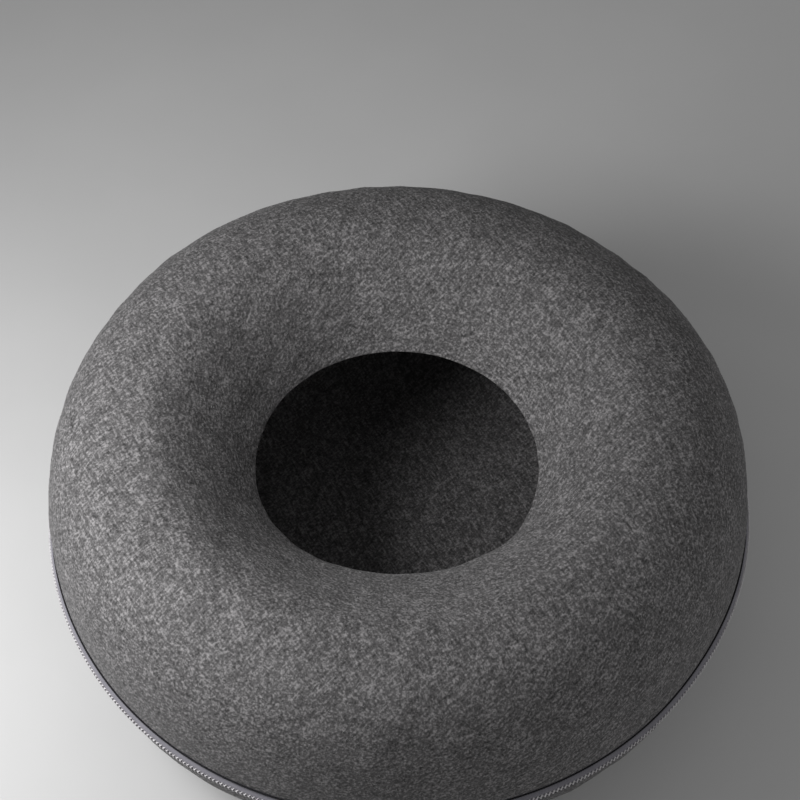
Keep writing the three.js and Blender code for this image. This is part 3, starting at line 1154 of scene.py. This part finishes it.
@dataclass
class TunnelBed:
    """The whole bed: two felt halves with their fibres and the nearly black lines along their edges, and the
    zip between them.
    """

    form: RingForm = RingForm()
    blank: float = 0.70
    blank_hole: float = 0.20
    tape_cut: float = 22 * MM
    fibres: dict[Half, int] = field(default_factory=lambda: {Half.UPPER: 24000, Half.LOWER: 12000})
    fibre_seed: int = 40

    def build(self) -> None:
        """Make and dress every piece."""
        zip_form = ZipForm(self.form)
        felt, fibre, dark_line = FeltFinish().material(), FibreFinish().material(), DarkLineFinish().material()
        tape, coil, metal = TapeFinish().material(), CoilFinish().material(), MetalFinish().material()
        for half in Half:
            self.felt_half(half, felt, fibre, dark_line)
            self.zip_half(zip_form, half, tape, coil)
        slider = ZipSlider(zip_form).patch().piece("slider", metal, Slot.METAL)
        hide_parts("zip_slider")
        pull = ZipPull(zip_form).patch().piece("pull_tab", metal, Slot.METAL)
        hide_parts("zip_pull")

    def felt_half(
        self,
        half: Half,
        felt: bpy.types.Material,
        fibre: bpy.types.Material,
        dark_line: bpy.types.Material,
    ) -> None:
        """Args:
            half: which one.
            felt: finish of the sheet.
            fibre: finish of the loose fibres.
            dark_line: finish of the nearly black line along the edge.
        """
        shell = FeltShell(self.form, half)
        sheet = shell.patch().piece(f"felt_{half.word}", felt, Slot.FELT)
        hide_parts(f"{half.word}_shell")
        coat = FibreCoat(shell, self.fibres[half], seed=self.fibre_seed + half.value)
        fluff = coat.patch().piece(f"felt_{half.word}_fibres", fibre, Slot.FELT)
        # a nearly black tube along the felt edge beside the zip, where a dark line runs
        seam = EdgeDarkLine(self.form, half).patch().piece(f"edge_thread_{half.word}", dark_line, Slot.FELT)

    def zip_half(
        self,
        zip_form: ZipForm,
        half: Half,
        tape: bpy.types.Material,
        coil: bpy.types.Material,
    ) -> None:
        """Args:
            zip_form: the zip's sizes.
            half: which one.
            tape: finish of the tape.
            coil: finish of the coil.
        """
        strip = ZipTape(zip_form, half).patch().piece(f"tape_{half.word}", tape, Slot.TAPE)
        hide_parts(f"zip_tape_{half.word}")
        wound = ZipCoil(zip_form, half).patch().piece(f"coil_{half.word}", coil, Slot.COIL)
        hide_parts("zip_chain")


@dataclass
class Studio:
    """Pale floor, soft light from the left, a weak one opposite, and the camera at the photograph's angle."""

    floor_half: float = 6.0
    floor_grey: float = 0.52
    mottle: Grain = Grain(scale=6.0, detail=3.0, roughness=0.5)
    mottle_swing: float = 0.02
    elevation: float = math.radians(53.83)
    distance: float = 1.926
    aim: tuple[float, float, float] = (0.0040, 0.0679, 0.1696)
    roll: float = -0.0175
    sensor: float = 36.0
    focal_pixels: float = 2224.0
    frame_pixels: float = 800.0
    key_from: tuple[float, float, float] = (-0.74, -0.17, 0.62)
    key_distance: float = 0.85
    key_size: float = 0.45
    key_watts: float = 8.8
    fill_from: tuple[float, float, float] = (0.80, -0.45, 0.40)
    fill_distance: float = 1.6
    fill_size: float = 1.2
    fill_watts: float = 4.4
    sky: float = 0.25

    def build(self) -> None:
        """Make the floor, the lights and the camera."""
        scene = bpy.context.scene
        scene.view_settings.view_transform = "Standard"
        self.floor()
        self.light("key_light", Vector(self.key_from), self.key_distance, self.key_size, self.key_watts)
        self.light("fill_light", Vector(self.fill_from), self.fill_distance, self.fill_size, self.fill_watts)
        world = bpy.data.worlds.new("studio_air")
        world.use_nodes = True
        world.node_tree.nodes["Background"].inputs["Color"].default_value = (1.0, 1.0, 1.0, 1.0)
        world.node_tree.nodes["Background"].inputs["Strength"].default_value = self.sky
        scene.world = world
        scene.camera = self.camera()

    def floor(self) -> None:
        """Lay a flat pale floor."""
        mesh = bpy.data.meshes.new("studio_floor")
        h = self.floor_half
        mesh.from_pydata([(-h, -h, 0), (h, -h, 0), (h, h, 0), (-h, h, 0)], [], [(0, 1, 2, 3)])
        recipe = Recipe("studio_floor")
        low, high = self.floor_grey * (1 - self.mottle_swing), self.floor_grey * (1 + self.mottle_swing)
        colour = recipe.ramp(recipe.noise(self.mottle), [(0.3, (low,) * 3), (0.7, (high,) * 3)])
        finish = recipe.finish({"Base Color": colour, "Roughness": 0.9, "Specular IOR Level": 0.1})
        mesh.materials.append(finish)
        floor = bpy.data.objects.new("studio_floor", mesh)
        bpy.context.scene.collection.objects.link(floor)

    def light(self, name: str, way: Vector, distance: float, size: float, watts: float) -> None:
        """Hang a square light that way from the middle of the bed, turned towards it.

        Args:
            name: its name.
            way: direction from the bed's middle, of any length.
            distance: from the bed's middle, in metres.
            size: side of the square, in metres.
            watts: its power.
        """
        light = bpy.data.lights.new(name, "AREA")
        light.size = size
        light.energy = watts
        lamp = bpy.data.objects.new(name, light)
        away = way.normalized() * distance
        lamp.location = away + Vector((0.0, 0.0, RingForm().core_level))
        lamp.rotation_euler = (-away).to_track_quat("-Z", "Y").to_euler()
        bpy.context.scene.collection.objects.link(lamp)

    def camera(self) -> bpy.types.Object:
        """Make the camera: it looks along +Y and down by the elevation, at the aim point."""
        data = bpy.data.cameras.new("camera")
        data.sensor_width = self.sensor
        data.lens = self.sensor * self.focal_pixels / self.frame_pixels
        camera = bpy.data.objects.new("camera", data)
        back = Vector((0.0, -math.cos(self.elevation), math.sin(self.elevation)))
        tilt = Matrix.Rotation(math.pi / 2 - self.elevation, 4, "X") @ Matrix.Rotation(self.roll, 4, "Z")
        camera.matrix_world = Matrix.Translation(Vector(self.aim) + back * self.distance) @ tilt
        bpy.context.scene.collection.objects.link(camera)
        return camera


def main() -> None:
    """Build the bed and its setting."""
    logging.basicConfig(level=logging.INFO, format="%(name)s %(message)s")
    TunnelBed().build()
    Studio().build()


if __name__ == "__main__":
    main()
